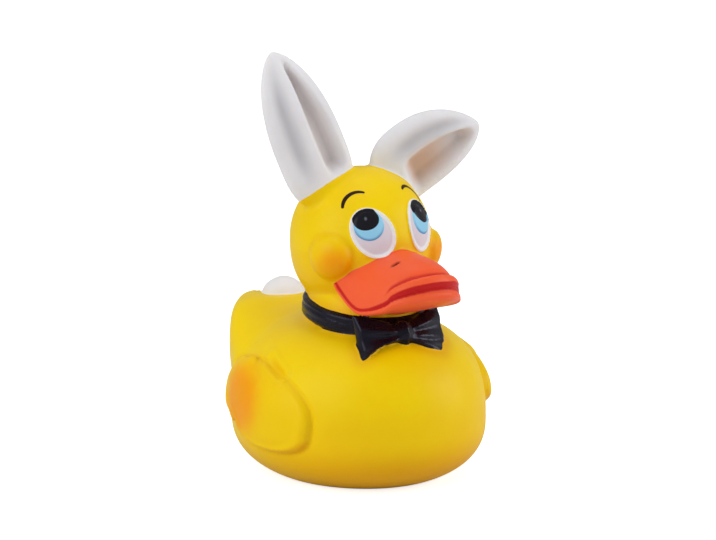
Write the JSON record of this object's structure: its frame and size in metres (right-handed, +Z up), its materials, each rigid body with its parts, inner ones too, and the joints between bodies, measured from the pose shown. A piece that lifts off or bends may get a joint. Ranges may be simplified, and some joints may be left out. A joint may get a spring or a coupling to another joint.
{
  "type": "rubber duck",
  "caption": "Hollow yellow latex bath duck in white rabbit ears and a black bow tie, with an orange bill, folded wings and a round white tuft on its tail.",
  "frame": {"origin": "on the flat base, 4 mm behind its middle", "axes": "+Z up, -Y the way the duck faces, +X its left side"},
  "size_m": [0.0728, 0.092, 0.1197],
  "materials": {
    "latex": "satin"
  },
  "bodies": {
    "root": {"rubber_duck": "latex"}
  },
  "joints": []
}
